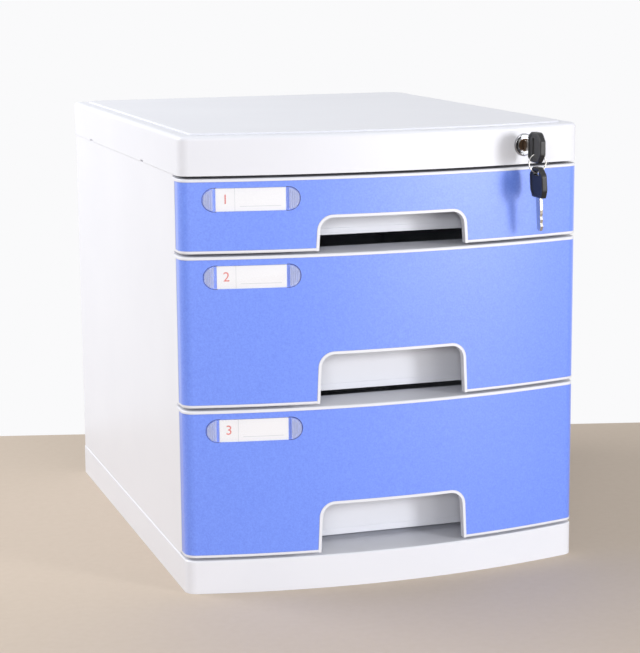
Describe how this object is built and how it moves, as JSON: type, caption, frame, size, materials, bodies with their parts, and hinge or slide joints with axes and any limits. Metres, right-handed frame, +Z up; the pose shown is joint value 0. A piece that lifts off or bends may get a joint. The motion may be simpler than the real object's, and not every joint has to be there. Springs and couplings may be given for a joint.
{
  "type": "desktop file drawer",
  "caption": "Desktop drawer cabinet in white plastic with bowed blue drawer fronts, finger grips, label windows and a cam lock with its keys.",
  "frame": {"origin": "centre of the cabinet's footprint, on the desk", "axes": "+Z up, -Y towards the drawer fronts, +X to the side with the lock"},
  "size_m": [0.3, 0.4118, 0.327],
  "materials": {
    "white_plastic": "moulded, soft gloss",
    "blue_panel": "moulded, fine orange-peel gloss",
    "clear_plastic": "clear, polished",
    "card_paper": "uncoated card",
    "chrome": "bright chrome plate",
    "dark_brass": "cast plug, darkened brass",
    "zinc_steel": "zinc plated",
    "black_plastic": "moulded, semi-matt",
    "nickel_brass": "nickel plated, milled",
    "spring_steel": "bright drawn wire"
  },
  "bodies": {
    "cabinet": {"base_plinth": "white_plastic", "left_side_panel": "white_plastic", "right_side_panel": "white_plastic", "back_panel": "white_plastic", "top_cover": "white_plastic", "lock_body": "chrome", "lock_nut": "zinc_steel"},
    "bottom_drawer": {"bottom_tray": "white_plastic", "bottom_front_frame": "white_plastic", "bottom_front_panel": "blue_panel", "bottom_label_window": "clear_plastic", "bottom_label_card": "card_paper", "bottom_front_screws": "zinc_steel"},
    "middle_drawer": {"middle_tray": "white_plastic", "middle_front_frame": "white_plastic", "middle_front_panel": "blue_panel", "middle_label_window": "clear_plastic", "middle_label_card": "card_paper", "middle_front_screws": "zinc_steel"},
    "top_drawer": {"top_tray": "white_plastic", "top_front_frame": "white_plastic", "top_front_panel": "blue_panel", "top_label_window": "clear_plastic", "top_label_card": "card_paper", "top_front_screws": "zinc_steel"},
    "plug": {"lock_plug": "dark_brass", "lock_cam": "zinc_steel", "cam_screw": "zinc_steel"},
    "bar": {"lock_bar": "zinc_steel"},
    "key": {"key_blade": "nickel_brass", "key_head": "black_plastic"},
    "ring": {"key_ring": "spring_steel"},
    "spare_key": {"spare_key_blade": "nickel_brass", "spare_key_head": "black_plastic"}
  },
  "joints": [
    {"name": "bottom_drawer_slide", "type": "slide", "parent": "cabinet", "child": "bottom_drawer", "axis": [0, -1, 0], "range_m": [0, 0.27]},
    {"name": "middle_drawer_slide", "type": "slide", "parent": "cabinet", "child": "middle_drawer", "axis": [0, -1, 0], "range_m": [0, 0.27]},
    {"name": "top_drawer_slide", "type": "slide", "parent": "cabinet", "child": "top_drawer", "axis": [0, -1, 0], "range_m": [0, 0.27], "deforming": ["key_ring", "spare_key_head", "spare_key_blade"]},
    {"name": "lock_turn", "type": "hinge", "parent": "cabinet", "child": "plug", "pos_m": [0.1023, -0.183, 0.3121], "axis": [0, 1, 0], "range_deg": [0, 90]},
    {"name": "bar_slide", "type": "slide", "parent": "cabinet", "child": "bar", "axis": [0, 0, -1], "range_m": [0, 0.0113]},
    {"name": "key_pull", "type": "slide", "parent": "plug", "child": "key", "axis": [0, -1, 0], "range_m": [0, 0.025]},
    {"name": "ring_hang", "type": "hinge", "parent": "key", "child": "ring", "pos_m": [0.1023, -0.2047, 0.3035], "axis": [0, 1, 0], "range_deg": [-90, 0]},
    {"name": "spare_key_swing", "type": "hinge", "parent": "ring", "child": "spare_key", "pos_m": [0.104, -0.2047, 0.29421], "axis": [1, 0, 0], "range_deg": [-30, 8]}
  ],
  "couplings": [
    {"joint": "lock_turn", "follows": "bar_slide", "rad_per_m": 138.84},
    {"joint": "ring_hang", "follows": "bar_slide", "rad_per_m": -138.84}
  ]
}
